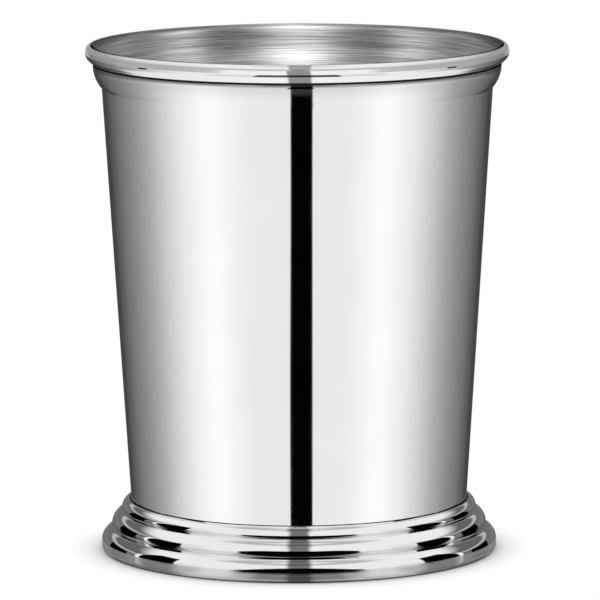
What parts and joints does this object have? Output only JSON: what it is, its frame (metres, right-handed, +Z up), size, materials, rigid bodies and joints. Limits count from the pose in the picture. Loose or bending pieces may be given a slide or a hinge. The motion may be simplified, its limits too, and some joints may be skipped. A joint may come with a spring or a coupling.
{
  "type": "julep cup",
  "caption": "Tapered metal julep cup with a moulded lip band, a flared collar and a stepped foot ring, mirror polished outside and satin inside.",
  "frame": {"origin": "centre of the circle on which the foot stands, on the table plane", "axes": "+Z up along the cup's axis, towards the mouth; X and Y are any two level directions"},
  "size_m": [0.0828, 0.0828, 0.1],
  "materials": {
    "polished_metal": "mirror polish outside, fine spun lines inside",
    "satin_metal": "satin, with fine spun lines",
    "solder": "dull, scraped smooth"
  },
  "bodies": {
    "root": {"body_wall": "polished_metal", "floor_disc": "satin_metal", "lip_band": "polished_metal", "foot_ring": "polished_metal", "lip_solder": "solder", "floor_solder": "solder", "foot_solder": "solder"}
  },
  "joints": []
}
